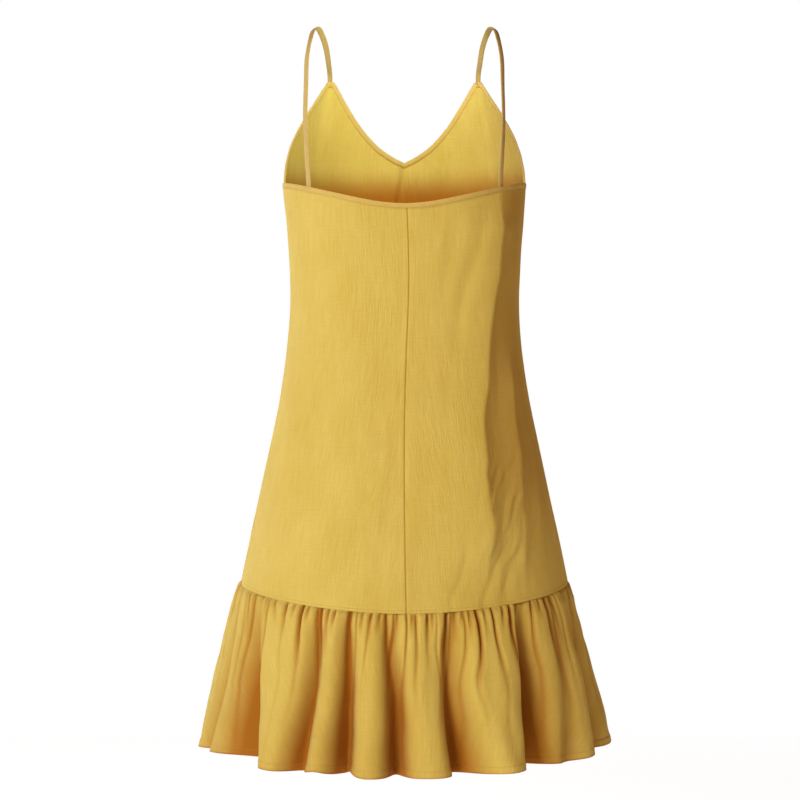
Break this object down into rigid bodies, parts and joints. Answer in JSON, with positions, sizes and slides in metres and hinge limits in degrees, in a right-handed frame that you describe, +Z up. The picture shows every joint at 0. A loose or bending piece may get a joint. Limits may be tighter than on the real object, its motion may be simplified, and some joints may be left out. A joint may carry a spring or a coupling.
{
  "type": "spaghetti strap dress",
  "caption": "Short sleeveless summer dress with thin tube straps, a V front, a gentle scoop back and a gathered hem tier, kept hollow as when worn.",
  "frame": {"origin": "midway between the tops of the two straps, where the wearer's shoulders hold the dress", "axes": "+Z up, +Y out of the front of the dress, +X towards the wearer's right"},
  "size_m": [0.5011, 0.4054, 0.8865],
  "materials": {
    "cloth": "matt slubby linen weave, mustard yellow",
    "binding": "matt linen bias strip, mustard yellow"
  },
  "bodies": {
    "root": {"front_panel": "cloth", "back_left_panel": "cloth", "back_right_panel": "cloth", "ruffle_front": "cloth", "ruffle_back": "cloth", "neck_binding": "binding", "back_neck_binding": "binding", "armhole_binding_left": "binding", "armhole_binding_right": "binding", "strap_left": "binding", "strap_right": "binding"}
  },
  "joints": []
}
